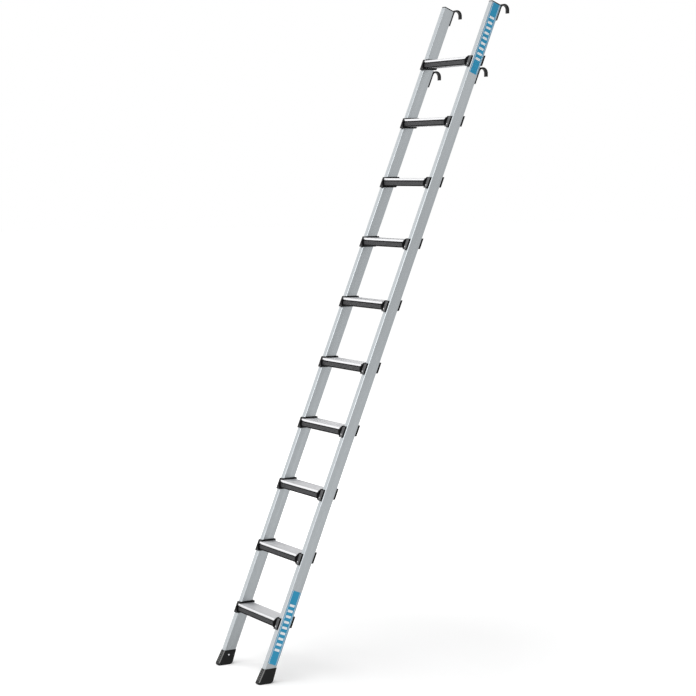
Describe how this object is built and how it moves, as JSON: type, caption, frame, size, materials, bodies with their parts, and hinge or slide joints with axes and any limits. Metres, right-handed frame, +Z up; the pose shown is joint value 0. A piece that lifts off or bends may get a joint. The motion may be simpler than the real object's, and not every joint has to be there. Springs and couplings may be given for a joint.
{
  "type": "hook-on shelf ladder",
  "caption": "Leaning aluminium shelf ladder with flat treads in moulded brackets, rear steel hooks that hang on a rack rail, and plastic feet on the floor.",
  "frame": {"origin": "on the floor, under the middle of the ladder's depth and width", "axes": "+Z up, +X across the ladder, the top leans towards +Y, and the climber stands on the -Y side"},
  "size_m": [0.3942, 1.2452, 2.8381],
  "materials": {
    "stile_aluminium": "satin drawn section",
    "tread_aluminium": "ribbed drawn section",
    "nosing_plastic": "ribbed, charcoal",
    "bracket_plastic": "moulded, black",
    "hook_steel": "black coated",
    "foot_plastic": "moulded, black, ribbed toe",
    "cap_plastic": "moulded, black",
    "rivet_steel": "bright"
  },
  "bodies": {
    "root": {"stile_left": "stile_aluminium", "stile_right": "stile_aluminium", "tread_01": "tread_aluminium", "tread_nosing_01": "nosing_plastic", "tread_bracket_left_01": "bracket_plastic", "tread_bracket_right_01": "bracket_plastic", "tread_02": "tread_aluminium", "tread_nosing_02": "nosing_plastic", "tread_bracket_left_02": "bracket_plastic", "tread_bracket_right_02": "bracket_plastic", "tread_03": "tread_aluminium", "tread_nosing_03": "nosing_plastic", "tread_bracket_left_03": "bracket_plastic", "tread_bracket_right_03": "bracket_plastic", "tread_04": "tread_aluminium", "tread_nosing_04": "nosing_plastic", "tread_bracket_left_04": "bracket_plastic", "tread_bracket_right_04": "bracket_plastic", "tread_05": "tread_aluminium", "tread_nosing_05": "nosing_plastic", "tread_bracket_left_05": "bracket_plastic", "tread_bracket_right_05": "bracket_plastic", "tread_06": "tread_aluminium", "tread_nosing_06": "nosing_plastic", "tread_bracket_left_06": "bracket_plastic", "tread_bracket_right_06": "bracket_plastic", "tread_07": "tread_aluminium", "tread_nosing_07": "nosing_plastic", "tread_bracket_left_07": "bracket_plastic", "tread_bracket_right_07": "bracket_plastic", "tread_08": "tread_aluminium", "tread_nosing_08": "nosing_plastic", "tread_bracket_left_08": "bracket_plastic", "tread_bracket_right_08": "bracket_plastic", "tread_09": "tread_aluminium", "tread_nosing_09": "nosing_plastic", "tread_bracket_left_09": "bracket_plastic", "tread_bracket_right_09": "bracket_plastic", "tread_10": "tread_aluminium", "tread_nosing_10": "nosing_plastic", "tread_bracket_left_10": "bracket_plastic", "tread_bracket_right_10": "bracket_plastic", "hook_lower_left": "hook_steel", "hook_rivet_lower_left_a": "rivet_steel", "hook_rivet_lower_left_b": "rivet_steel", "hook_upper_left": "hook_steel", "hook_rivet_upper_left_a": "rivet_steel", "hook_rivet_upper_left_b": "rivet_steel", "hook_lower_right": "hook_steel", "hook_rivet_lower_right_a": "rivet_steel", "hook_rivet_lower_right_b": "rivet_steel", "hook_upper_right": "hook_steel", "hook_rivet_upper_right_a": "rivet_steel", "hook_rivet_upper_right_b": "rivet_steel", "foot_left": "foot_plastic", "foot_rivet_left": "rivet_steel", "top_cap_left": "cap_plastic", "foot_right": "foot_plastic", "foot_rivet_right": "rivet_steel", "top_cap_right": "cap_plastic"}
  },
  "joints": []
}
